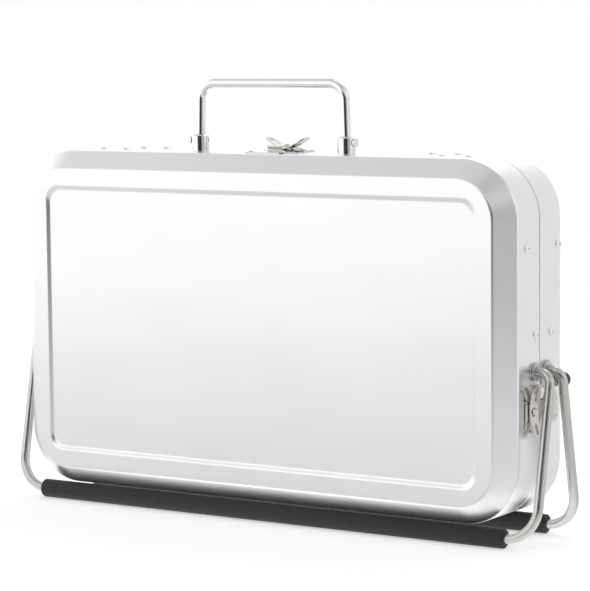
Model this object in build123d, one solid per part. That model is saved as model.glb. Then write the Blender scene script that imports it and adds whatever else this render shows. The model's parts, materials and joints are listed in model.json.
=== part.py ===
from build123d import *

import math
import os

# Suitcase grill: two stamped pans hinged along the bottom, on two wire bails.
# X runs along the case, Y from the front pan to the rear pan, Z up from the floor.
# The seam is the plane Y = 0, and the origin is on the floor under its middle.

# case
case_width = 400.0
case_height = 240.0
case_depth = 84.0
corner_radius = 40.0
sheet = 0.8
edge_chamfer = 12.5
bend_radius = 3.0
seam_gap = 0.6
hem_depth = 2.0
panel_inset = 25.0
panel_corner = 10.0
panel_recess = 1.5
panel_slope = 60.0

# legs
rod_radius = 3.25
sleeve_radius = 6.5
sleeve_bore_gap = 0.05
sleeve_case_gap = 0.7
leg_pivot_height = 100.5
leg_pivot_y = 7.9
leg_side_gap = 9.0
leg_top_bend = 8.0
leg_foot_bend = 22.0
foot_y = 29.6
stub_inside = 4.0
bush_wall = 1.6
bush_flange = 0.9
bush_height = 2.4
retainer_radius = 6.0
retainer_length = 1.5

# handle
handle_span = 120.0
handle_rise = 51.2
handle_y = 12.0
handle_corner = 12.0
handle_lean = 1.2
boss_radius = 6.2
boss_height = 12.0
boss_pin_height = 8.0
boss_slot_floor = 3.6
boss_slot_play = 0.4
boss_front_wall = 1.7
rod_end = 2.5
pin_radius = 1.5
screw_radius = 3.0
screw_head = 1.6

# latches
latch_sheet = 1.2
latch_base_length = 34.0
latch_guide = 1.0
hook_width = 12.0
hook_lift = 1.2
hook_reach = 10.0
hook_travel = 4.0
latch_play = 0.2
spindle_radius = 2.0
spindle_head = 3.2
wing_length = 34.0
wing_width = 11.0
wing_hub = 10.0
end_latch_axis = 15.0
top_latch_axis = 7.5
end_wing_rise = 7.4
top_wing_rise = 10.5
end_latch_height = 75.2
keeper_start = 6.0
keeper_end = 24.0
keeper_lip_height = 2.3
keeper_lip_width = 1.6
end_keeper_length = 21.0
top_keeper_length = 34.0

# inside
tray_inset = 6.0
tray_sheet = 1.0
tray_slot_width = 5.0
tray_slot_columns = 7
tray_slot_rows = 4
grate_inset = 5.0
grate_frame_radius = 2.2
grate_wire_radius = 1.5
grate_wires = 17
grate_wire_sides = 6
grate_depth = 10.5
tray_depth = 21.5
clip_width = 14.0
clip_sheet = 1.0
clip_shelf = 9.0
clip_margin = 2.3
front_tray_rivet = 18.0
rear_tray_rivet = 26.0
front_grate_rivet = 5.4
rear_grate_rivet = 16.2
tray_clip_height = 182.0
grate_clip_height = 124.7
front_top_clip_x = 140.0
rear_top_clip_x = 120.0
clip_rivet_pitch = 20.0
tray_bottom_clip_x = 30.0

# rivets, hinges and studs
rivet_sides = 12
rivet_taper = 50.0
rivet_radius = 3.3
rivet_rise = 1.5
small_rivet_radius = 1.9
small_rivet_rise = 0.9
hinge_x = 82.0
hinge_length = 42.0
hinge_sheet = 1.0
hinge_leaf = 15.0
knuckle_radius = 2.5
knuckle_gap = 0.3
hinge_pin_radius = 1.2
fit_gap = 0.05
stud_y = 27.0
stud_height = 91.8
stud_radius = 2.4
stud_foot_radius = 4.0
ball_radius = 5.1
plate_sheet = 1.0
plate_width = 15.0
plate_top = 6.5
front_plate_drop = 6.0
rear_plate_drop = 12.0

# places that follow from the sizes
case_bottom = 2 * sleeve_radius + sleeve_case_gap
case_top = case_bottom + case_height
case_middle = case_bottom + case_height / 2
half_width = case_width / 2
half_depth = case_depth / 2
wall_inside = half_width - sheet
leg_x = half_width + leg_side_gap + rod_radius
pivot_z = case_bottom + leg_pivot_height
tight = 0.02


def save(name, shape):
    """Write one named piece, or one group of like pieces, as a STEP file."""
    export_step(shape, "parts/" + name + ".step")


def ring(outer, inner, length):
    """A tube standing on the XY plane."""
    return extrude(Circle(outer) - Circle(inner), length)


def rivet_head(radius, rise):
    """Low many-sided head that narrows to its top, standing on the XY plane."""
    return extrude(RegularPolygon(radius, rivet_sides), rise, taper=rivet_taper)


def plug(inset):
    """Block that fills one pan, drawn in by inset on every side but the seam."""
    radius = corner_radius - inset
    outline = RectangleRounded(case_width - 2 * inset, case_height - 2 * inset, radius)
    block = extrude(Plane.XZ * outline, half_depth - inset)
    chamfer_leg = edge_chamfer - inset * (2 - math.sqrt(2))
    block = chamfer(block.faces().sort_by(Axis.Y)[0].edges(), chamfer_leg)
    slope_edges = block.edges().filter_by(lambda edge: edge.center().Y < -seam_gap)
    block = fillet(slope_edges, bend_radius - inset)
    widen = 2 * inset * math.tan(math.radians(panel_slope / 2))
    panel = RectangleRounded(
        case_width - 2 * panel_inset + widen,
        case_height - 2 * panel_inset + widen,
        panel_corner,
    )
    face = Plane((0, inset - half_depth, 0), x_dir=(1, 0, 0), z_dir=(0, 1, 0))
    return block - extrude(face * panel, panel_recess, taper=panel_slope)


def pan():
    """Front pan: formed sheet, hemmed at the rim, open towards +Y."""
    body = plug(0) - plug(sheet)
    hem_outer = RectangleRounded(
        case_width - 2 * sheet + tight,
        case_height - 2 * sheet + tight,
        corner_radius - sheet,
    )
    hem_inner = RectangleRounded(
        case_width - 4 * sheet,
        case_height - 4 * sheet,
        corner_radius - 2 * sheet,
    )
    body += extrude(Plane.XZ * (hem_outer - hem_inner), hem_depth)
    gap = Box(2 * case_width, seam_gap, 2 * case_height)
    return body - gap


def leg_holes(side):
    """Round holes for the leg bushes through both end walls of one pan."""
    hole = Cylinder(rod_radius + fit_gap + bush_wall, 4 * case_width, rotation=(0, 90, 0))
    return Pos(0, side * leg_pivot_y, pivot_z) * hole


def build_shells():
    """Both pans, with the holes that the leg bushes pass through."""
    front = Pos(0, 0, case_middle) * pan()
    rear = mirror(front, about=Plane.XZ)
    save("front_shell", front - leg_holes(-1))
    save("rear_shell", rear - leg_holes(1))


def on_end(side, y, z):
    """Plane on an end wall, facing out: side is 1 for the right end and -1 for the left."""
    return Plane((side * half_width, y, z), x_dir=(0, 0, -side), z_dir=(side, 0, 0))


def on_top(x, y):
    """Plane on the top wall, facing up."""
    return Plane((x, y, case_top), x_dir=(1, 0, 0), z_dir=(0, 0, 1))


def on_bottom(x, y):
    """Plane on the bottom wall, facing down."""
    return Plane((x, y, case_bottom), x_dir=(1, 0, 0), z_dir=(0, 0, -1))


def flip_face(plane):
    """The same place on the inner face of the wall, facing in."""
    origin = plane.origin - plane.z_dir * sheet
    return Plane(origin, x_dir=plane.x_dir, z_dir=-plane.z_dir)


def clip(plane, side, rivet_depth, shelf_depths, length):
    """Folded clip on a wall's inner face; depths are measured from the seam into the pan."""
    start = min(shelf_depths[0], rivet_depth - clip_margin) - rivet_depth
    end = max(shelf_depths[-1] + clip_sheet, rivet_depth + clip_margin) - rivet_depth
    inward = plane.z_dir
    into_pan = Vector(0, side, 0)
    local = Plane(plane.origin, x_dir=into_pan, z_dir=inward)
    body = Pos((start + end) / 2, 0, clip_sheet / 2) * Box(end - start, length, clip_sheet)
    for depth in shelf_depths:
        middle = depth + clip_sheet / 2 - rivet_depth
        body += Pos(middle, 0, clip_shelf / 2) * Box(clip_sheet, length, clip_shelf)
    return local * body


def end_places(side, rivet_y, height):
    """Planes at one height on both end walls of one pan."""
    return [on_end(end, side * rivet_y, case_bottom + height) for end in (1, -1)]


def wall_places(side, rivet_y, clip_x):
    """Planes on the top and bottom walls of one pan, left and right."""
    places = [on_top(x, side * rivet_y) for x in (-clip_x, clip_x)]
    return places + [on_bottom(x, side * rivet_y) for x in (-clip_x, clip_x)]


def paired(place):
    """Two rivet places, side by side along X about one place."""
    shifts = (-clip_rivet_pitch / 2, clip_rivet_pitch / 2)
    return [Plane(place.origin + Vector(x, 0, 0), x_dir=place.x_dir, z_dir=place.z_dir) for x in shifts]


def build_inside(name, side, tray_rivet, grate_rivet, top_clip_x):
    """Tray, grate, their clips and the rivets of one pan."""
    tray_ends = end_places(side, tray_rivet, tray_clip_height)
    tray_walls = [on_bottom(x, side * tray_rivet) for x in (-tray_bottom_clip_x, tray_bottom_clip_x)]
    tray_shelves = (tray_depth - latch_play - clip_sheet, tray_depth + tray_sheet + latch_play)
    tray_clips = [clip(flip_face(p), side, tray_rivet, tray_shelves, clip_width) for p in tray_ends + tray_walls]
    save(name + "_tray_clips", Compound(children=tray_clips))

    grate_ends = end_places(side, grate_rivet, grate_clip_height)
    grate_walls = wall_places(side, grate_rivet, top_clip_x)
    shelf = (grate_depth,)
    grate_clips = [clip(flip_face(p), side, grate_rivet, shelf, clip_width) for p in grate_ends]
    long_clip = clip_width + clip_rivet_pitch
    grate_clips += [clip(flip_face(p), side, grate_rivet, shelf, long_clip) for p in grate_walls]
    save(name + "_grate_clips", Compound(children=grate_clips))

    places = tray_ends + grate_ends
    for place in grate_walls:
        places += paired(place)
    save(name + "_clip_rivets", Compound(children=[p * rivet_head(rivet_radius, rivet_rise) for p in places]))

    save(name + "_charcoal_tray", tray(side))
    save(name + "_cooking_grate", grate(side))


def tray(side):
    """Flat charcoal tray with rows of slots."""
    width = case_width - 2 * (sheet + tray_inset)
    height = case_height - 2 * (sheet + tray_inset)
    outline = RectangleRounded(width, height, corner_radius - sheet - tray_inset)
    slot_pitch_x = width / tray_slot_columns
    slot_pitch_z = height / (tray_slot_rows + 1)
    slot = Rectangle(0.6 * slot_pitch_x, tray_slot_width)
    slots = GridLocations(slot_pitch_x, slot_pitch_z, tray_slot_columns, tray_slot_rows) * slot
    plate = extrude(Plane.XZ * (outline - slots), -side * tray_sheet)
    return Pos(0, side * tray_depth, case_middle) * plate


def grate(side):
    """Cooking grate: a rounded wire frame with upright wires laid across it."""
    half_w = wall_inside - grate_inset - grate_frame_radius
    half_h = case_height / 2 - sheet - grate_inset - grate_frame_radius
    radius = corner_radius - sheet - grate_inset - grate_frame_radius
    loop = Plane.XZ * RectangleRounded(2 * half_w, 2 * half_h, radius).wire()
    start = Plane(loop @ 0, z_dir=loop % 0)
    body = sweep(start * RegularPolygon(grate_frame_radius, grate_wire_sides), path=loop)
    pitch = 2 * (half_w - radius / 2) / (grate_wires - 1)
    for index in range(grate_wires):
        x = (index - (grate_wires - 1) / 2) * pitch
        past_bend = max(0.0, abs(x) - (half_w - radius))
        reach = half_h - radius + math.sqrt(radius ** 2 - past_bend ** 2)
        wire = extrude(RegularPolygon(grate_wire_radius, grate_wire_sides), reach, both=True)
        body += Pos(x, 0, 0) * wire
    depth = grate_depth - latch_play - grate_frame_radius
    return Pos(0, side * depth, case_middle) * body


def bail(side):
    """One leg: a wire bent into a wide U, its two stubs turned in through the end walls."""
    run_z = pivot_z - sleeve_radius
    run_y = foot_y - leg_pivot_y
    drop = math.hypot(run_y, run_z)
    stub = wall_inside - stub_inside
    points = [(stub, 0), (leg_x, 0), (leg_x, -drop), (-leg_x, -drop), (-leg_x, 0), (-stub, 0)]
    radii = [leg_top_bend, leg_foot_bend, leg_foot_bend, leg_top_bend]
    path = Plane.XZ * FilletPolyline(*points, radius=radii)
    start = Plane(path @ 0, z_dir=path % 0)
    wire = sweep(start * Circle(rod_radius), path=path)
    straight = leg_x - leg_foot_bend
    sleeve_profile = Circle(sleeve_radius) - Circle(rod_radius + sleeve_bore_gap)
    sleeve = extrude(Plane.YZ * sleeve_profile, straight, both=True)
    rims = sleeve.edges().filter_by(GeomType.CIRCLE).sort_by(SortBy.RADIUS)[-2:]
    sleeve = chamfer(rims, 0.8)
    sleeve = Pos(0, 0, -drop) * sleeve
    splay = side * math.degrees(math.atan2(run_y, run_z))
    place = Pos(0, side * leg_pivot_y, pivot_z) * Rot(splay, 0, 0)
    return place * wire, place * sleeve


def build_legs(name, side, plate_drop):
    """Leg bail, its sleeve, the pivot plates, bushes and retaining washers of one pan."""
    wire, sleeve = bail(side)
    save(name + "_leg_bail", wire)
    save(name + "_leg_sleeve", sleeve)
    hole = rod_radius + fit_gap
    bushes, plates, retainers = [], [], []
    for end in (1, -1):
        place = on_end(end, side * leg_pivot_y, pivot_z)
        neck = Pos(0, 0, -sheet) * ring(hole + bush_wall, hole, sheet + bush_height)
        lip = Pos(0, 0, plate_sheet) * ring(hole + bush_wall + bush_flange, hole, bush_height - plate_sheet)
        bushes.append(place * (neck + lip))
        middle = (plate_drop - plate_top) / 2
        outline = RectangleRounded(plate_drop + plate_top, plate_width - 1.0, plate_width / 2 - 1.5)
        shape = Pos(end * middle, 0) * outline - Circle(hole + bush_wall)
        plates.append(place * extrude(shape, plate_sheet))
        washer = Pos(0, 0, -sheet - stub_inside) * ring(retainer_radius, rod_radius, retainer_length)
        retainers.append(place * washer)
    save(name + "_pivot_bushes", Compound(children=bushes))
    save(name + "_pivot_plates", Compound(children=plates))
    save(name + "_leg_retainers", Compound(children=retainers))


def build_studs():
    """Stop studs on the rear pan's end walls, with black ball caps."""
    studs, caps = [], []
    ball_centre = ball_radius - 1.8
    for end in (1, -1):
        place = on_end(end, stud_y, case_bottom + stud_height)
        foot = Cylinder(stud_foot_radius, 0.8, align=(Align.CENTER, Align.CENTER, Align.MIN))
        ball = Pos(0, 0, ball_centre) * Sphere(ball_radius)
        cut = Pos(0, 0, 0.4) * Box(4 * ball_radius, 4 * ball_radius, 0.8)
        bore = Cylinder(stud_radius, ball_centre, align=(Align.CENTER, Align.CENTER, Align.MIN))
        below = Pos(0, 0, -ball_radius) * Box(4 * ball_radius, 4 * ball_radius, 2 * ball_radius)
        caps.append(place * (ball - cut - bore - below))
        studs.append(place * (foot + bore))
    save("stop_studs", Compound(children=studs))
    save("stop_ball_caps", Compound(children=caps))


def build_handle():
    """Folding handle, its two bosses slotted to the rear and their pivot screws."""
    half = handle_span / 2
    rise = handle_rise - boss_pin_height - rod_radius
    points = [(-half, -rod_end), (-half + handle_lean, rise), (half - handle_lean, rise), (half, -rod_end)]
    path = Plane.XZ * FilletPolyline(*points, radius=handle_corner)
    start = Plane(path @ 0, z_dir=path % 0)
    rod = sweep(start * Circle(rod_radius), path=path)
    for x in (-half, half):
        rod -= Pos(x, 0, 0) * Cylinder(pin_radius + fit_gap, 4 * rod_radius, rotation=(0, 90, 0))
    save("handle_rod", Pos(0, -handle_y, case_top + boss_pin_height) * rod)

    bosses, screws = [], []
    stand = (Align.CENTER, Align.CENTER, Align.MIN)
    for end in (1, -1):
        boss = Cylinder(boss_radius, boss_height, align=stand)
        boss = chamfer(boss.faces().sort_by(Axis.Z)[-1].edges(), 0.8)
        slot_width = 2 * (rod_radius + boss_slot_play)
        slot = Box(slot_width, 4 * boss_radius, boss_height, align=(Align.CENTER, Align.MIN, Align.MIN))
        slot = Pos(0, boss_front_wall - boss_radius, boss_slot_floor) * slot
        pin_hole = Pos(0, 0, boss_pin_height) * Cylinder(pin_radius, 4 * boss_radius, rotation=(0, 90, 0))
        place = on_top(end * half, -handle_y)
        bosses.append(place * (boss - slot - pin_hole))
        inner = boss_radius - 0.6
        pin = Plane((-end * inner, 0, boss_pin_height), z_dir=(end, 0, 0))
        shank = pin * Cylinder(pin_radius, inner + boss_radius, align=stand)
        head_plane = Plane((end * boss_radius, 0, boss_pin_height), z_dir=(end, 0, 0))
        head = head_plane * Cylinder(screw_radius, screw_head, align=stand)
        drive = Plane((end * (boss_radius + screw_head), 0, boss_pin_height), z_dir=(end, 0, 0))
        head -= drive * Box(0.9, 4 * screw_radius, 1.0)
        screws.append(place * (shank + head))
    save("handle_bosses", Compound(children=bosses))
    save("handle_screws", Compound(children=screws))


def latch_base(axis):
    """Latch base plate with two guide rails for the hook; the seam is at Y = 0."""
    start = -axis - hook_travel - spindle_radius - 4.0
    end = -1.3
    plate = Pos(0, (start + end) / 2) * RectangleRounded(latch_base_length, end - start, 3.0)
    body = extrude(plate, latch_sheet)
    rail_height = latch_sheet + latch_play + latch_sheet
    rail_y = (start + end) / 2
    for x in (-1, 1):
        rail_x = x * (hook_width / 2 + latch_play + latch_guide / 2)
        rail = Pos(rail_x, rail_y, rail_height / 2) * Box(latch_guide, end - start - 5.0, rail_height)
        body += rail
    return body


def latch_spindle(axis):
    """Fixed spindle with a head that holds the wing down."""
    hub_top = 3 * latch_sheet + 3 * latch_play
    stand = (Align.CENTER, Align.CENTER, Align.MIN)
    shaft = Pos(0, -axis, latch_sheet) * Cylinder(spindle_radius, hub_top - latch_sheet + latch_play, align=stand)
    head = Pos(0, -axis, hub_top + latch_play) * rivet_head(spindle_head, 1.0)
    return shaft + head


def latch_hook(axis):
    """Sliding hook strap: slotted over the spindle, stepped up over the seam."""
    low = latch_sheet + latch_play
    high = low + hook_lift
    tail = -axis - hook_travel - spindle_radius - 2.5
    points = [
        (tail, low),
        (0.5, low),
        (3.0, high),
        (hook_reach - 1.5, high),
        (hook_reach, high + 1.5),
        (hook_reach, high + 1.5 + latch_sheet),
        (hook_reach - 2.0, high + latch_sheet),
        (2.5, high + latch_sheet),
        (0.0, low + latch_sheet),
        (tail, low + latch_sheet),
    ]
    strap = extrude(Plane.YZ * Polygon(*points, align=None), hook_width / 2, both=True)
    slot_length = hook_travel + 2 * (spindle_radius + latch_play)
    slot = Rot(0, 0, 90) * SlotOverall(slot_length, 2 * (spindle_radius + latch_play))
    slot = Pos(0, -axis - hook_travel / 2) * slot
    return strap - extrude(slot, 10.0)


def latch_wing(axis, rise):
    """Butterfly wing: a flat hub with two pierced lobes that rise away from the wall."""
    low = 2 * latch_sheet + 2 * latch_play + 0.1
    half = wing_length / 2
    hub = wing_hub / 2
    under = [(-half, rise - latch_sheet), (-hub, low), (hub, low), (half, rise - latch_sheet)]
    over = [(half, rise), (hub, low + latch_sheet), (-hub, low + latch_sheet), (-half, rise)]
    sheet_body = extrude(Plane.XZ * Polygon(*under, *over, align=None), wing_width / 2, both=True)
    plan = SlotOverall(wing_length, wing_width) - Circle(spindle_radius + fit_gap)
    hole_x = (hub + half) / 2
    for x in (-hole_x, hole_x):
        plan -= Pos(x, 0) * SlotOverall(7.5, 3.2)
    return Pos(0, -axis, 0) * (sheet_body & extrude(plan, 4 * rise))


def latch_keeper(length):
    """Keeper plate with a raised lip under the hook and a rounded outer end."""
    middle = (keeper_start + keeper_end) / 2
    plate = Pos(0, middle) * RectangleRounded(length, keeper_end - keeper_start, 5.0)
    body = extrude(plate, latch_sheet - latch_play)
    lip_y = hook_reach - 2.0
    profile = Pos(lip_y, 0) * Trapezoid(2 * keeper_lip_width, keeper_lip_height, 60, align=(Align.CENTER, Align.MIN))
    return body + extrude(Plane.YZ * profile, hook_width / 2, both=True)


def latch_rivets(length, y, lift):
    """Two small rivets side by side on a latch plate."""
    x = length / 2 - 4.0
    return [Pos(s * x, y, lift) * rivet_head(small_rivet_radius, small_rivet_rise) for s in (-1, 1)]


def build_latch(name, plane, axis, rise, keeper_length):
    """All pieces of one twist latch on the wall plane; +Y of the plane points at the keeper."""
    save(name + "_base", plane * latch_base(axis))
    save(name + "_spindle", plane * latch_spindle(axis))
    save(name + "_hook", plane * latch_hook(axis))
    save(name + "_wing", plane * latch_wing(axis, rise))
    save(name + "_keeper", plane * latch_keeper(keeper_length))
    rivets = latch_rivets(latch_base_length, -axis, latch_sheet)
    save(name + "_base_rivets", plane * Compound(children=rivets))
    keeper_rivets = latch_rivets(keeper_length, keeper_end - 5.0, latch_sheet - latch_play)
    save(name + "_keeper_rivets", plane * Compound(children=keeper_rivets))


def build_latches():
    """Three latches: one on each end wall and one on the top wall, turned the other way."""
    for name, end in (("right_latch", 1), ("left_latch", -1)):
        plane = on_end(end, 0, case_bottom + end_latch_height)
        build_latch(name, plane, end_latch_axis, end_wing_rise, end_keeper_length)
    top = Plane((0, 0, case_top), x_dir=(-1, 0, 0), z_dir=(0, 0, 1))
    build_latch("top_latch", top, top_latch_axis, top_wing_rise, top_keeper_length)


def build_hinges():
    """Two butt hinges along the bottom seam: leaves, pins and leaf rivets."""
    axis_z = case_bottom - knuckle_radius
    third = hinge_length / 3
    leaves = {1: [], -1: []}
    rivets = {1: [], -1: []}
    pins = []
    lie = (0, 90, 0)
    for x in (-hinge_x, hinge_x):
        for side in (1, -1):
            leaf_start = knuckle_radius + knuckle_gap
            leaf_middle = side * (leaf_start + hinge_leaf / 2)
            leaf = Pos(x, leaf_middle, case_bottom - hinge_sheet / 2)
            leaf = leaf * Box(hinge_length, hinge_leaf, hinge_sheet)
            offsets = (0.0,) if side < 0 else (-third, third)
            for offset in offsets:
                length = third - knuckle_gap
                tongue = Pos(x + offset, side * leaf_start / 2, case_bottom - hinge_sheet / 2)
                leaf += tongue * Box(length, leaf_start + 0.2, hinge_sheet)
                leaf += Pos(x + offset, 0, axis_z) * Cylinder(knuckle_radius, length, rotation=lie)
            leaf -= Pos(x, 0, axis_z) * Cylinder(hinge_pin_radius + fit_gap, 2 * hinge_length, rotation=lie)
            leaves[side].append(leaf)
            for offset in (-third, third):
                place = Plane((x + offset, leaf_middle, case_bottom - hinge_sheet), z_dir=(0, 0, -1))
                rivets[side].append(place * rivet_head(small_rivet_radius, small_rivet_rise))
        pins.append(Pos(x, 0, axis_z) * Cylinder(hinge_pin_radius, hinge_length + 1.0, rotation=lie))
    save("rear_hinge_leaves", Compound(children=leaves[1]))
    save("front_hinge_leaves", Compound(children=leaves[-1]))
    save("rear_hinge_rivets", Compound(children=rivets[1]))
    save("front_hinge_rivets", Compound(children=rivets[-1]))
    save("hinge_pins", Compound(children=pins))


os.makedirs("parts", exist_ok=True)
build_shells()
build_inside("front", -1, front_tray_rivet, front_grate_rivet, front_top_clip_x)
build_inside("rear", 1, rear_tray_rivet, rear_grate_rivet, rear_top_clip_x)
build_legs("front", -1, front_plate_drop)
build_legs("rear", 1, rear_plate_drop)
build_studs()
build_handle()
build_latches()
build_hinges()
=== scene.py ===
import json
import math

import bmesh
import bpy
import numpy as np
from mathutils import Matrix, Vector


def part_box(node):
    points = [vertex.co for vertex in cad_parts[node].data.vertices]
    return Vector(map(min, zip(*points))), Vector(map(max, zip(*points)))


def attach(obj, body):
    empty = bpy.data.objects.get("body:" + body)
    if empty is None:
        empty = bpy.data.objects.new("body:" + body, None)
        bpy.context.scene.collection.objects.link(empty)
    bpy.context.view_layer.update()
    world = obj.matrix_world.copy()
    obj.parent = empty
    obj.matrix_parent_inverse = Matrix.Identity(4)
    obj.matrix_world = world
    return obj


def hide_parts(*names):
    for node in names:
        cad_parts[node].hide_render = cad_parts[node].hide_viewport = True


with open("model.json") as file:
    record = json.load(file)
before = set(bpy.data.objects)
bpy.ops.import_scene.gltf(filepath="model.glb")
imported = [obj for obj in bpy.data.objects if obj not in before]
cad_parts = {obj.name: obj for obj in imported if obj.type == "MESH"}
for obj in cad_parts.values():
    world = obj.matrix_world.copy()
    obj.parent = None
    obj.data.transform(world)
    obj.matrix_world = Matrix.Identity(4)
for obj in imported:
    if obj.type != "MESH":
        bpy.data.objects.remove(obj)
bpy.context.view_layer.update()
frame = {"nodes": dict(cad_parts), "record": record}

# one millimetre, in metres
MM = 0.001

# case: outline, sheet, chamfered edge, recessed panel and hemmed rim, in metres
CORNER_RADIUS = 40 * MM
SHEET = 0.8 * MM
EDGE_CHAMFER = 12.5 * MM
BEND_DEGREES = 45
BEND_RADIUS = 3 * MM
PANEL_INSET = 24.4 * MM
PANEL_STEP = 3.6 * MM
PANEL_CORNER = 10 * MM
PANEL_RECESS = 1.5 * MM
HEM_DEPTH = 2 * MM
RIM_ROUND = 0.3 * MM
# distance from each bend to the extra row of points that keeps the flat beside it flat
SUPPORT = 0.4 * MM

# wire of the legs and the handle, and the legs' sleeves
ROD_RADIUS = 3.25 * MM
LEG_TOP_BEND = 8 * MM
LEG_FOOT_BEND = 22 * MM
SLEEVE_BORE = 3.3 * MM
SLEEVE_ROUND = 1.2 * MM
SLEEVE_LIP = 0.1 * MM
HANDLE_CORNER = 12 * MM
HANDLE_LEAN = 1.2 * MM
HANDLE_END = 2.5 * MM

# cooking grates
GRATE_INSET = 5 * MM
GRATE_WIRES = 17
FRAME_WIRE = 2.2 * MM
CROSS_WIRE = 1.5 * MM

# facets round each kind of turned or drawn piece
WIRE_SIDES = 28
HANDLE_SIDES = 36
SLEEVE_SIDES = 48
RIVET_SIDES = 28
FRAME_WIRE_SIDES = 14
CROSS_WIRE_SIDES = 12


def joint_place(name):
    """Point on the named joint's axis at rest."""
    for joint in frame["record"]["behaviour"]["joints"]:
        if joint["name"] == name:
            return Vector(joint["pos_m"])
    raise KeyError(name)


def body_of(node):
    """Name of the body that holds a node."""
    for body, members in frame["record"]["behaviour"]["bodies"].items():
        if node in members:
            return body
    raise KeyError(node)


def slot_of(node):
    """Name of the record's material slot for a node."""
    for row in frame["record"]["subparts"]:
        if row["node"] == node:
            return row["material_slot"]
    raise KeyError(node)


def linked(name, data):
    """New object at the origin with the given data, linked to the scene."""
    thing = bpy.data.objects.new(name, data)
    bpy.context.scene.collection.objects.link(thing)
    return thing


# materials

# lowest and highest value that a noise reaches nearly everywhere
NOISE_LOW, NOISE_HIGH = 0.3, 0.7
# depth of a bump at full strength
BUMP_DEPTH = 0.1 * MM
# places of the colour sockets on a Mix node
MIX_SHARE, MIX_FIRST, MIX_SECOND, MIX_RESULT = 0, 6, 7, 2


def linear(hex_colour):
    """sRGB hex colour as linear red, green, blue and alpha 1."""
    parts = [int(hex_colour[i : i + 2], 16) / 255 for i in (1, 3, 5)]
    return [c / 12.92 if c <= 0.04045 else ((c + 0.055) / 1.055) ** 2.4 for c in parts] + [1.0]


def add_node(tree, kind, settings=None, inputs=None):
    """One node with its attributes set, and its inputs given a value or linked to a socket."""
    node = tree.nodes.new(kind)
    for key, value in (settings or {}).items():
        setattr(node, key, value)
    for key, value in (inputs or {}).items():
        if isinstance(value, bpy.types.NodeSocket):
            tree.links.new(value, node.inputs[key])
        else:
            node.inputs[key].default_value = value
    return node


def new_surface(name, colour, metallic, roughness, **sockets):
    """Principled material with constant values on its own sockets."""
    material = bpy.data.materials.new(name)
    material.use_nodes = True
    shader = material.node_tree.nodes["Principled BSDF"]
    shader.inputs["Base Color"].default_value = linear(colour)
    shader.inputs["Metallic"].default_value = metallic
    shader.inputs["Roughness"].default_value = roughness
    for key, value in sockets.items():
        shader.inputs[key].default_value = value
    return material, material.node_tree, shader


def streaks(tree, spacing, length):
    """Noise drawn out along X: lines the given spacing apart and about the given length long."""
    place = add_node(tree, "ShaderNodeTexCoord")
    scale = (1 / length, 1 / spacing, 1 / spacing)
    mapping = {"Vector": place.outputs["Object"], "Scale": scale}
    stretch = add_node(tree, "ShaderNodeMapping", inputs=mapping)
    noise = {"Vector": stretch.outputs[0], "Scale": 1.0, "Detail": 2.0}
    return add_node(tree, "ShaderNodeTexNoise", inputs=noise).outputs[0]


def worn(tree, shader, pattern, low, high, relief=0.0):
    """Wear that follows a noise pattern: the roughness wanders from low to high, and the pattern is also
    the height of a slight relief where one is asked for."""
    spread = {"From Min": NOISE_LOW, "From Max": NOISE_HIGH, "To Min": low, "To Max": high}
    roughness = add_node(tree, "ShaderNodeMapRange", inputs={"Value": pattern} | spread)
    tree.links.new(roughness.outputs[0], shader.inputs["Roughness"])
    if relief:
        height = {"Strength": relief, "Distance": BUMP_DEPTH, "Height": pattern}
        bump = add_node(tree, "ShaderNodeBump", inputs=height)
        tree.links.new(bump.outputs[0], shader.inputs["Normal"])


def brushed_stainless():
    """Grade 430 stainless sheet, belt brushed along X: pale, with a soft drawn-out sheen and faint
    cloudy changes of tone. Real brush lines are too fine to show, so they are drawn 1.2 mm apart."""
    material, tree, shader = new_surface("brushed_stainless_sheet", "#F4F3F6", 1.0, 0.25)
    lines = streaks(tree, spacing=1.2 * MM, length=90 * MM)
    worn(tree, shader, lines, 0.28, 0.30)
    clouds = streaks(tree, spacing=45 * MM, length=120 * MM)
    whole = {"Value": clouds, "From Min": NOISE_LOW, "From Max": NOISE_HIGH}
    share = add_node(tree, "ShaderNodeMapRange", inputs=whole).outputs[0]
    tones = {MIX_SHARE: share, MIX_FIRST: linear("#F2F1F4"), MIX_SECOND: linear("#F7F6F8")}
    mix = add_node(tree, "ShaderNodeMix", {"data_type": "RGBA", "blend_type": "MIX"}, tones)
    tree.links.new(mix.outputs[MIX_RESULT], shader.inputs["Base Color"])
    return material


def satin_steel(name, colour, low, high):
    """Drawn wire or rolled sheet as it leaves the mill: satin, with faint drawn-out lines and handling
    marks. The finish of the leg wires, the trays and, under thin zinc, the clips."""
    material, tree, shader = new_surface(name, colour, 1.0, (low + high) / 2)
    marks = streaks(tree, spacing=6 * MM, length=25 * MM)
    worn(tree, shader, marks, low, high)
    return material


def plated(name, colour, roughness, wear):
    """Plated or burnished metal: as clear a mirror as its roughness allows, with slight waviness from
    the metal beneath. The finish of the chrome, the nickel and the rivets."""
    material, tree, shader = new_surface(name, colour, 1.0, roughness)
    waves = streaks(tree, spacing=8 * MM, length=14 * MM)
    worn(tree, shader, waves, roughness, roughness + wear, relief=0.04)
    return material


def moulded_rubber():
    """Extruded black rubber tube: matt, finely pitted, with a dull broad highlight. Real pits are too
    fine to show, so they are drawn 1.1 mm apart."""
    material, tree, shader = new_surface("extruded_rubber", "#1D1D1F", 0.0, 0.62, IOR=1.52)
    place = add_node(tree, "ShaderNodeTexCoord")
    pit_spacing = 1.1 * MM
    noise = {"Vector": place.outputs["Object"], "Scale": 1 / pit_spacing, "Detail": 3.0}
    pits = add_node(tree, "ShaderNodeTexNoise", inputs=noise).outputs[0]
    worn(tree, shader, pits, 0.52, 0.72, relief=0.18)
    return material


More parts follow.
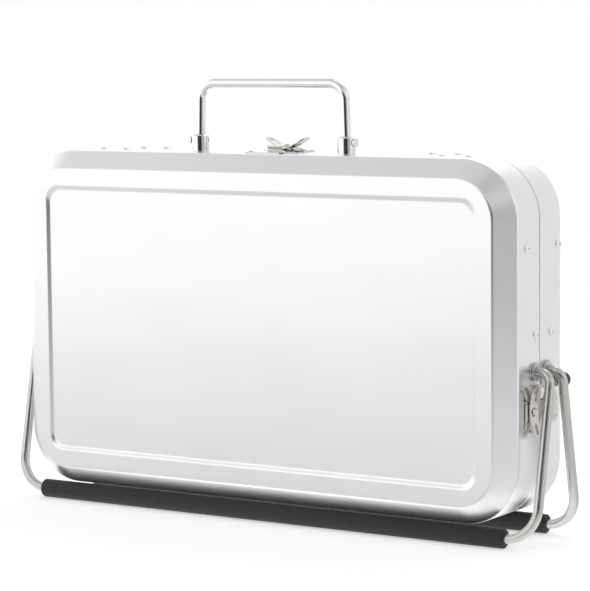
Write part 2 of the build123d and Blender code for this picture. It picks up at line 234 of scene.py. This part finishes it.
def phenolic_black():
    """Moulded black phenolic ball: dark and satin, with one soft highlight."""
    material, tree, shader = new_surface("black_phenolic", "#2A2A2C", 0.0, 0.35, IOR=1.58)
    mottle = streaks(tree, spacing=2 * MM, length=2 * MM)
    worn(tree, shader, mottle, 0.3, 0.45)
    return material


# finish of each material slot: satin steel gets a range of roughness, and plating a roughness and its wear
FINISH = {
    "stainless_pan": brushed_stainless(),
    "tray_steel": satin_steel("mill_finish_steel", "#B9B8B6", 0.35, 0.5),
    "grate_chrome": plated("chromed_wire", "#E3E4E6", 0.1, 0.06),
    "clip_steel": satin_steel("zinc_plated_steel", "#C9CACC", 0.22, 0.36),
    "rivet_steel": plated("satin_rivet_steel", "#F6F6F7", 0.34, 0.1),
    "rod_stainless": satin_steel("drawn_stainless_wire", "#CBC9C6", 0.2, 0.28),
    "sleeve_rubber": moulded_rubber(),
    "handle_chrome": plated("bright_chrome", "#EDEEF0", 0.04, 0.04),
    "ball_black": phenolic_black(),
    "latch_nickel": plated("nickel_plate", "#D9D7D2", 0.13, 0.08),
}


def dress(piece, node):
    """Gives a new piece its body, its slot and finish, and lets it stand for its CAD node."""
    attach(piece, body_of(node))
    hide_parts(node)
    piece.data.materials.clear()
    piece.data.materials.append(FINISH[slot_of(node)])


# shapes


def finish_mesh(name, mesh, sharp_angle):
    """Turns faces outwards, smooths them up to an angle and links the object at the origin."""
    work = bmesh.new()
    work.from_mesh(mesh)
    bmesh.ops.remove_doubles(work, verts=work.verts, dist=1e-7)
    bmesh.ops.recalc_face_normals(work, faces=work.faces)
    for face in work.faces:
        face.smooth = True
    limit = math.radians(sharp_angle)
    for edge in work.edges:
        edge.smooth = edge.is_manifold and edge.calc_face_angle(0.0) < limit
    work.to_mesh(mesh)
    work.free()
    mesh.update()
    return linked(name, mesh)


def grid_mesh(name, rings, cap_ends=False, sharp_angle=40):
    """Mesh from an array of closed rings (ring, point, xyz): quads join each ring to the next,
    and flat caps close the first and last rings where asked."""
    count, around = rings.shape[:2]
    index = np.arange(count * around).reshape(count, around)
    here, there = index[:-1], index[1:]
    quads = np.stack([here, np.roll(here, -1, 1), np.roll(there, -1, 1), there], axis=-1)
    faces = quads.reshape(-1, 4).tolist()
    if cap_ends:
        faces += [index[0][::-1].tolist(), index[-1].tolist()]
    mesh = bpy.data.meshes.new(name)
    mesh.from_pydata(rings.reshape(-1, 3).tolist(), [], faces)
    return finish_mesh(name, mesh, sharp_angle)


def joined(name, pieces):
    """One object with the meshes of several, which are then removed."""
    work = bmesh.new()
    for piece in pieces:
        work.from_mesh(piece.data)
        bpy.data.objects.remove(piece)
    mesh = bpy.data.meshes.new(name)
    work.to_mesh(mesh)
    work.free()
    return linked(name, mesh)


def refined(node, edge_round, sharp_angle=32):
    """Merged copy of a CAD node with smooth curved faces and, where asked, softly rounded edges."""
    mesh = frame["nodes"][node].data.copy()
    mesh.materials.clear()
    piece = finish_mesh(node + "_finished", mesh, sharp_angle)
    if edge_round:
        bevel = piece.modifiers.new("edge", "BEVEL")
        bevel.width = edge_round
        bevel.segments = 2
        bevel.limit_method = "ANGLE"
        bevel.angle_limit = math.radians(sharp_angle)
    weighted = piece.modifiers.new("flat", "WEIGHTED_NORMAL")
    weighted.keep_sharp = True
    dress(piece, node)


def full_turn(sides):
    """Angles of the given number of equal steps round a circle, in radians."""
    return np.linspace(0, 2 * math.pi, sides, endpoint=False)


def arc(centre, radius, start, end, steps=8):
    """Points on an arc in a plane: the centre plus the radius times the cosine and sine of angles that
    go from start to end in degrees."""
    turn = np.radians(np.linspace(start, end, steps))
    return np.stack([centre[0] + radius * np.cos(turn), centre[1] + radius * np.sin(turn)], 1)


def rounded_outline(half_x, half_z, radius, steps=24):
    """X and Z round a closed rectangle with round corners: each corner is a quarter circle of the
    radius. Sizes given as arrays give one outline to a row."""
    half_x, half_z, radius = [np.array(size)[..., None] for size in (half_x, half_z, radius)]
    turn = np.linspace(0, math.pi / 2, steps)
    x = half_x - radius + radius * np.cos(turn)
    z = half_z - radius + radius * np.sin(turn)
    round_x = np.concatenate([x, -x[..., ::-1], -x, x[..., ::-1]], -1)
    round_z = np.concatenate([z, z[..., ::-1], -z, -z[..., ::-1]], -1)
    return round_x, round_z


def pan_profile(depth):
    """Outer line of a pan from the seam to the panel, as inset from the outline and depth from the seam.
    Straight wall, a bend, the chamfer, a second bend, the flat ring, and a half cosine wave down to the
    recessed panel. Each bend ends one radius times the tangent of half its angle from the corner."""
    tangent = BEND_RADIUS * math.tan(math.radians(BEND_DEGREES / 2))
    wall_start = RIM_ROUND * 3
    wall_end = depth - EDGE_CHAMFER - tangent
    ring_start = EDGE_CHAMFER + tangent
    first = arc((BEND_RADIUS, wall_end), BEND_RADIUS, 180, 180 - BEND_DEGREES)
    second = arc((ring_start, depth - BEND_RADIUS), BEND_RADIUS, 180 - BEND_DEGREES, 90)
    along = (second[0] - first[-1]) / np.linalg.norm(second[0] - first[-1])
    wave = np.linspace(0, 1, 13)
    step_inset = PANEL_INSET + PANEL_STEP * wave
    step_depth = depth - PANEL_RECESS * (1 - np.cos(math.pi * wave)) / 2
    return np.concatenate(
        [
            [(0, wall_start), (0, wall_end - SUPPORT)],
            first,
            [first[-1] + along * SUPPORT, second[0] - along * SUPPORT],
            second,
            [(ring_start + SUPPORT, depth), (PANEL_INSET - SUPPORT, depth)],
            np.stack([step_inset, step_depth], 1),
            [(PANEL_INSET + PANEL_STEP + SUPPORT, depth - PANEL_RECESS)],
        ]
    )


def corner_at(inset):
    """Corner radius at an inset: concentric out to the ring, then blending to the panel's own radius."""
    ring_start = EDGE_CHAMFER + BEND_RADIUS
    blend = np.clip((inset - ring_start) / (PANEL_INSET - ring_start), 0, 1)
    ring_radius = CORNER_RADIUS - np.minimum(inset, ring_start)
    return ring_radius * (1 - blend) + PANEL_CORNER * blend


def pan_shell(node, side):
    """One pan: its outer profile, hemmed rim and inner profile one sheet thickness in,
    all carried round the case's outline. Side is -1 for the front pan and 1 for the rear one."""
    low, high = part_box(node)
    seam = min(abs(low.y), abs(high.y))
    depth = max(abs(low.y), abs(high.y))
    half_x = (high.x - low.x) / 2
    half_z = (high.z - low.z) / 2
    middle = (high.z + low.z) / 2
    outer = pan_profile(depth)
    direction = np.gradient(outer, axis=0)
    direction /= np.linalg.norm(direction, axis=1)[:, None]
    inner = outer + SHEET * np.stack([direction[:, 1], -direction[:, 0]], 1)
    hem = [
        (SHEET, seam + HEM_DEPTH),
        (2 * SHEET, seam + HEM_DEPTH),
        (2 * SHEET, seam + RIM_ROUND),
        (2 * SHEET - RIM_ROUND, seam),
        (RIM_ROUND, seam),
        (0, seam + RIM_ROUND),
    ]
    inset, out = np.concatenate([inner[:0:-1], hem, outer]).T
    x, z = rounded_outline(half_x - inset, half_z - inset, corner_at(inset))
    y = np.broadcast_to(side * out[:, None], x.shape)
    dress(grid_mesh(node + "_pressed", np.stack([x, y, z + middle], -1), cap_ends=True), node)


def bent_path(points, radii, steps=14):
    """Runs between corner points, joined by tangent arcs of the given radii. Points on an arc are
    weighted sums of its end radii, by the sines of the angles left and gone, over the sine of the whole."""
    points = [np.array(p, float) for p in points]
    path = [points[0]]
    for before, corner, after, radius in zip(points, points[1:], points[2:], radii):
        back = (before - corner) / np.linalg.norm(before - corner)
        ahead = (after - corner) / np.linalg.norm(after - corner)
        half = math.acos(np.clip(back @ ahead, -1, 1)) / 2
        middle = (back + ahead) / np.linalg.norm(back + ahead)
        centre = corner + middle * radius / math.sin(half)
        to_start = corner + back * radius / math.tan(half) - centre
        to_end = corner + ahead * radius / math.tan(half) - centre
        angle = math.pi - 2 * half
        share = np.linspace(0, 1, steps)[:, None]
        swept = np.sin((1 - share) * angle) * to_start + np.sin(share * angle) * to_end
        path.extend(centre + swept / math.sin(angle))
    path.append(points[-1])
    return np.array(path)


def wire_rings(path, ahead, across, radius, sides):
    """Circle square to the path at each of its points: the radius times the cosine of an angle along the
    side direction and times its sine along across, which is the normal of the path's plane."""
    ahead = ahead / np.linalg.norm(ahead, axis=1)[:, None]
    across = np.array(across, float)
    side = np.cross(ahead, across)
    side /= np.linalg.norm(side, axis=1)[:, None]
    turn = full_turn(sides)[None, :, None]
    circle = np.cos(turn) * side[:, None, :] + np.sin(turn) * across
    return path[:, None, :] + radius * circle


def tube(name, path, radius, across, sides=WIRE_SIDES):
    """Round wire with flat ends along a path that lies in one plane: a circle at each of its points."""
    rings = wire_rings(path, np.gradient(path, axis=0), across, radius, sides)
    return grid_mesh(name, rings, cap_ends=True)


def leg_bail(name):
    """Leg wire: out of the end wall, down the splayed arm and along under the case, and back up.
    The arm runs from the joint's axis to the middle of the sleeve."""
    pivot = joint_place(name + "_leg_swing")
    sleeve_low, sleeve_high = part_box(name + "_leg_sleeve")
    foot = (sleeve_low + sleeve_high) / 2
    arm = Vector((0, foot.y - pivot.y, foot.z - pivot.z))
    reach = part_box(name + "_leg_bail")[1].x - ROD_RADIUS
    stub = -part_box(name + "_leg_retainers")[0].x
    flat = [(stub, 0), (reach, 0), (reach, 1), (-reach, 1), (-reach, 0), (-stub, 0)]
    points = [(x, pivot.y + t * arm.y, pivot.z + t * arm.z) for x, t in flat]
    path = bent_path(points, [LEG_TOP_BEND, LEG_FOOT_BEND, LEG_FOOT_BEND, LEG_TOP_BEND])
    across = np.cross((1, 0, 0), np.array(arm.normalized()))
    dress(tube(name + "_leg_wire", path, ROD_RADIUS, across), name + "_leg_bail")


def leg_sleeve(name):
    """Rubber tube on the leg's foot: a straight wall with rounded ends and an open bore, turned about X."""
    low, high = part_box(name + "_leg_sleeve")
    centre = (low + high) / 2
    radius = (high.z - low.z) / 2
    end = high.x
    mouth = (end - SLEEVE_LIP, SLEEVE_BORE)
    round_end = arc((end - SLEEVE_ROUND, radius - SLEEVE_ROUND), SLEEVE_ROUND, 0, 90, 6)
    half = [mouth] + round_end.tolist()
    line = [(-x, r) for x, r in half] + half[::-1] + [(-mouth[0], mouth[1])]
    along, away = np.array(line).T[:, :, None]
    turn = full_turn(SLEEVE_SIDES)
    rings = np.empty((len(line), len(turn), 3))
    rings[..., 0] = along
    rings[..., 1] = centre.y + away * np.cos(turn)
    rings[..., 2] = centre.z + away * np.sin(turn)
    dress(grid_mesh(name + "_leg_rubber", rings), name + "_leg_sleeve")


def handle_rod():
    """Handle: a round rod bent at two corners, its arms leaning in and ending just below the pins."""
    pin = joint_place("handle_fold")
    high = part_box("handle_rod")[1]
    half = high.x - ROD_RADIUS
    top = high.z - ROD_RADIUS
    foot = pin.z - HANDLE_END
    flat = [(-half, foot), (-half + HANDLE_LEAN, top), (half - HANDLE_LEAN, top), (half, foot)]
    path = bent_path([(x, pin.y, z) for x, z in flat], [HANDLE_CORNER, HANDLE_CORNER])
    dress(tube("handle_bar", path, ROD_RADIUS, (0, 1, 0), HANDLE_SIDES), "handle_rod")


def islands(node):
    """Corner points of each separate solid of a CAD node."""
    work = bmesh.new()
    work.from_mesh(frame["nodes"][node].data)
    bmesh.ops.remove_doubles(work, verts=work.verts, dist=1e-6)
    waiting = set(work.verts)
    groups = []
    while waiting:
        stack = [waiting.pop()]
        group = []
        while stack:
            vertex = stack.pop()
            group.append(tuple(vertex.co))
            for edge in vertex.link_edges:
                other = edge.other_vert(vertex)
                if other in waiting:
                    waiting.discard(other)
                    stack.append(other)
        groups.append(np.array(group))
    work.free()
    return groups


def rivet_profile():
    """Half section of a rivet head, as shares of its radius and of its rise: a short straight rim, a low
    arc with the cosine and sine of an angle, and the round hole with its lip, wall and floor."""
    rim = 0.12
    arc_angles = np.linspace(0.15, 1.2, 7)
    dome = [(math.cos(t), rim + (1 - rim) * math.sin(t)) for t in arc_angles]
    hole = [(0.3, 0.99), (0.27, 0.9), (0.25, 0.1), (0.03, 0.08)]
    return [(1.0, 0.0), (1.0, rim)] + dome + hole


def domed_rivets(node):
    """Rivet heads: the profile turned about each rivet's own axis, which is the CAD head's shortest
    side. The wide end of each CAD head is its foot on the wall."""
    share, height = np.array(rivet_profile()).T[:, :, None]
    turn = full_turn(RIVET_SIDES)
    meshes = []
    for index, points in enumerate(islands(node)):
        low, high = points.min(0), points.max(0)
        axis = int(np.argmin(high - low))
        centre = (low + high) / 2
        others = [a for a in range(3) if a != axis]
        spread = np.hypot(*(points[:, others] - centre[others]).T)
        radius = spread.max()
        foot = points[np.argmax(spread)][axis]
        upward = 1.0 if foot < centre[axis] else -1.0
        rise = upward * (high[axis] - low[axis])
        rings = np.empty((len(share), len(turn), 3))
        rings[..., axis] = foot + rise * height
        rings[..., others[0]] = centre[others[0]] + radius * share * np.cos(turn)
        rings[..., others[1]] = centre[others[1]] + radius * share * np.sin(turn)
        meshes.append(grid_mesh(f"{node}_{index}", rings, cap_ends=True, sharp_angle=50))
    dress(joined(node + "_domed", meshes), node)


def round_grate(name):
    """Cooking grate: a closed round frame wire in the outline's shape with upright wires across it.
    Past the corner's start a wire gets shorter with the corner's circle."""
    node = name + "_cooking_grate"
    low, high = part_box(node)
    centre = (low + high) / 2
    half_x = (high.x - low.x) / 2 - FRAME_WIRE
    half_z = (high.z - low.z) / 2 - FRAME_WIRE
    corner = CORNER_RADIUS - SHEET - GRATE_INSET - FRAME_WIRE
    x, z = rounded_outline(half_x, half_z, corner, 14)
    path = np.column_stack([x, np.full(len(x), centre.y), z + centre.z])
    ahead = np.roll(path, -1, 0) - np.roll(path, 1, 0)
    rings = wire_rings(path, ahead, (0, 1, 0), FRAME_WIRE, FRAME_WIRE_SIDES)
    pieces = [grid_mesh(node + "_frame", np.concatenate([rings, rings[:1]]))]
    pitch = 2 * (half_x - corner / 2) / (GRATE_WIRES - 1)
    for index in range(GRATE_WIRES):
        x = (index - (GRATE_WIRES - 1) / 2) * pitch
        past_bend = max(0.0, abs(x) - (half_x - corner))
        reach = half_z - corner + math.sqrt(corner**2 - past_bend**2)
        ends = np.array([(x, centre.y, centre.z - reach), (x, centre.y, centre.z + reach)])
        pieces.append(tube(f"{node}_{index}", ends, CROSS_WIRE, (0, 1, 0), CROSS_WIRE_SIDES))
    dress(joined(node + "_round", pieces), node)


# pieces drawn anew

ENDS = ("front", "rear")
RIVETS = [name + kind for kind in ("_clip_rivets", "_hinge_rivets") for name in ENDS]
for latch in ("right", "left", "top"):
    RIVETS += [latch + "_latch_base_rivets", latch + "_latch_keeper_rivets"]

pan_shell("front_shell", -1)
pan_shell("rear_shell", 1)
for name in ENDS:
    leg_bail(name)
    leg_sleeve(name)
handle_rod()
for node in RIVETS:
    domed_rivets(node)
for name in ENDS:
    round_grate(name)

# pieces that keep their CAD shape, with a softened edge by the ending of the node's name

EDGE_ROUND = {
    "_latch_base": 0.25 * MM,
    "_latch_hook": 0.25 * MM,
    "_latch_wing": 0.3 * MM,
    "_latch_keeper": 0.25 * MM,
    "_pivot_plates": 0.2 * MM,
    "_hinge_leaves": 0.15 * MM,
    "_clips": 0.15 * MM,
    "_charcoal_tray": 0.15 * MM,
    "_bushes": 0.2 * MM,
    "handle_bosses": 0.25 * MM,
    "handle_screws": 0.2 * MM,
}
DRAWN = {"handle_rod"} | set(RIVETS)
DRAWN |= {name + part for name in ENDS for part in ("_shell", "_leg_bail", "_leg_sleeve", "_cooking_grate")}
for node in sorted(set(frame["nodes"]) - DRAWN):
    widths = [width for ending, width in EDGE_ROUND.items() if node.endswith(ending)]
    refined(node, widths[0] if widths else 0.0)


# studio

# brightness of the tent round the object, which only light and reflections meet
TENT_LEVEL = 1.17
# darker parts of the tent: direction, cosines where each starts and is full, and how much it takes away
TENT_SHADES = [
    ((0.84, -0.54, 0.0), 0.80, 0.97, 0.60),
    ((0.34, -0.94, 0.0), 0.82, 0.96, 0.96),
    ((0.54, 0.84, 0.0), 0.50, 0.92, 0.30),
    ((0.0, 0.0, 1.0), 0.35, 0.95, 0.45),
    ((0.50, -0.50, 0.71), 0.85, 0.97, 0.30),
]
# floor, the glow that lifts it to white for the camera, and the glow that reflections of it show
FLOOR_RADIUS = 1.1
FLOOR_SIDES = 96
FLOOR_LIFT = 0.43
FLOOR_GLOSSY_LIFT = 0.12
# extra glow for reflections under the case, the distances where it starts and ends its fade, and how much
# a distance counts in X, Y and Z, because the case is long in X
FLOOR_BOUNCE = 0.7
BOUNCE_REACH = (0.05, 0.10)
BOUNCE_STRETCH = (0.3, 1, 1)
# the photo's camera, fitted to the case's edges: angles in degrees, metres, and pixels of the picture
CAMERA_AZIMUTH = 33.0
CAMERA_ELEVATION = 5.912
CAMERA_ROLL = -0.563
CAMERA_DISTANCE = 1.77907
CAMERA_AIM_X = 9.56 * MM
CAMERA_AIM_ABOVE_CASE = 140.85 * MM
FOCAL_PIXELS = 2566.3
PICTURE_PIXELS = 591
SENSOR_WIDTH = 36
# plain white, and settings that several nodes share
WHITE = (1, 1, 1, 1)
MULTIPLY = {"operation": "MULTIPLY"}
EASED = {"interpolation_type": "SMOOTHSTEP"}


def studio_world():
    """White surround for the camera. What lights the object is a soft tent: white on the left and in
    front, dimmer overhead and behind on the right, with a narrow dark gap in front, where the tent is
    open, and a grey stretch on the right that gives the bent edges their contrast. Each shade multiplies
    the level by one less its share, eased in with the cosine of the angle to its direction."""
    world = bpy.data.worlds.new("studio")
    bpy.context.scene.world = world
    world.use_nodes = True
    tree = world.node_tree
    tree.nodes.clear()
    place = add_node(tree, "ShaderNodeTexCoord")
    path = add_node(tree, "ShaderNodeLightPath")
    level = TENT_LEVEL
    for aim, start, end, drop in TENT_SHADES:
        towards = {0: place.outputs["Generated"], 1: aim}
        cosine = add_node(tree, "ShaderNodeVectorMath", {"operation": "DOT_PRODUCT"}, towards)
        stretch = {"From Min": start, "From Max": end, "To Min": 1.0, "To Max": 1 - drop}
        shade = add_node(tree, "ShaderNodeMapRange", EASED, {"Value": cosine.outputs["Value"]} | stretch)
        level = add_node(tree, "ShaderNodeMath", MULTIPLY, {0: level, 1: shade.outputs[0]}).outputs[0]
    tent = add_node(tree, "ShaderNodeBackground", inputs={"Color": WHITE, "Strength": level})
    plain = add_node(tree, "ShaderNodeBackground", inputs={"Color": WHITE, "Strength": 1.0})
    either = {0: path.outputs["Is Camera Ray"], 1: tent.outputs[0], 2: plain.outputs[0]}
    pick = add_node(tree, "ShaderNodeMixShader", inputs=either)
    add_node(tree, "ShaderNodeOutputWorld", inputs={"Surface": pick.outputs[0]})


def white_paper():
    """Matt white floor with a glow: for the camera an even one, and for reflections one that is
    strongest along the middle, under the case, and fades with the stretched distance from it."""
    material = bpy.data.materials.new("white_paper")
    material.use_nodes = True
    tree = material.node_tree
    tree.nodes.clear()
    path = add_node(tree, "ShaderNodeLightPath")
    spot = add_node(tree, "ShaderNodeNewGeometry")
    squeeze = {0: spot.outputs["Position"], 1: BOUNCE_STRETCH}
    along = add_node(tree, "ShaderNodeVectorMath", MULTIPLY, squeeze)
    away = add_node(tree, "ShaderNodeVectorMath", {"operation": "LENGTH"}, {0: along.outputs[0]})
    near, far = BOUNCE_REACH
    under_case = FLOOR_GLOSSY_LIFT + FLOOR_BOUNCE
    fade = {"From Min": near, "From Max": far, "To Min": under_case, "To Max": FLOOR_GLOSSY_LIFT}
    bounce = add_node(tree, "ShaderNodeMapRange", EASED, {"Value": away.outputs["Value"]} | fade)
    seen = {0: path.outputs["Is Camera Ray"], 1: FLOOR_LIFT}
    direct = add_node(tree, "ShaderNodeMath", MULTIPLY, seen)
    shiny = {0: path.outputs["Is Glossy Ray"], 1: bounce.outputs[0], 2: direct.outputs[0]}
    strength = add_node(tree, "ShaderNodeMath", {"operation": "MULTIPLY_ADD"}, shiny)
    paper = add_node(tree, "ShaderNodeBsdfDiffuse", inputs={"Color": linear("#E8E8E8")})
    glow = {"Color": WHITE, "Strength": strength.outputs[0]}
    lift = add_node(tree, "ShaderNodeEmission", inputs=glow)
    both = {0: paper.outputs[0], 1: lift.outputs[0]}
    total = add_node(tree, "ShaderNodeAddShader", inputs=both)
    add_node(tree, "ShaderNodeOutputMaterial", inputs={"Surface": total.outputs[0]})
    return material


def studio_floor():
    """Round white floor that keeps the object's soft shadow and is otherwise as white as the surround."""
    mesh = bpy.data.meshes.new("floor")
    turn = full_turn(FLOOR_SIDES)
    rim = FLOOR_RADIUS * np.column_stack([np.cos(turn), np.sin(turn), 0 * turn])
    mesh.from_pydata(rim.tolist(), [], [list(range(FLOOR_SIDES))])
    mesh.materials.append(white_paper())
    linked("floor", mesh)


def softbox(name, place, aim, size, watts):
    """Square area lamp that faces a point."""
    data = bpy.data.lights.new(name, "AREA")
    data.shape = "SQUARE"
    data.size = size
    data.energy = watts
    lamp = linked(name, data)
    lamp.location = place
    lamp.rotation_euler = (Vector(aim) - Vector(place)).to_track_quat("-Z", "Y").to_euler()


def photo_camera():
    """Camera as fitted to the case's edges: bearing, height above the horizon, roll and distance.
    The lens is the focal length in pixels over the picture's side, times the sensor's width."""
    azimuth, elevation, roll = np.radians([CAMERA_AZIMUTH, CAMERA_ELEVATION, CAMERA_ROLL])
    case_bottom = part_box("front_shell")[0].z
    target = Vector((CAMERA_AIM_X, 0, case_bottom + CAMERA_AIM_ABOVE_CASE))
    level_back = Vector((math.sin(azimuth), -math.cos(azimuth), 0))
    back = level_back * math.cos(elevation) + Vector((0, 0, math.sin(elevation)))
    right = (-back).cross(Vector((0, 0, 1))).normalized()
    up = right.cross(-back)
    right_rolled = right * math.cos(roll) + up * math.sin(roll)
    up_rolled = up * math.cos(roll) - right * math.sin(roll)
    data = bpy.data.cameras.new("camera")
    data.sensor_width = SENSOR_WIDTH
    data.lens = FOCAL_PIXELS / PICTURE_PIXELS * SENSOR_WIDTH
    camera = linked("camera", data)
    turn = Matrix((right_rolled, up_rolled, back)).transposed()
    camera.matrix_world = Matrix.Translation(target + back * CAMERA_DISTANCE) @ turn.to_4x4()
    bpy.context.scene.camera = camera


studio_world()
studio_floor()
softbox("overhead", place=(0.0, 0.9, 1.5), aim=(0, 0, 0.12), size=0.8, watts=3.0)
photo_camera()
bpy.context.scene.view_settings.view_transform = "Standard"
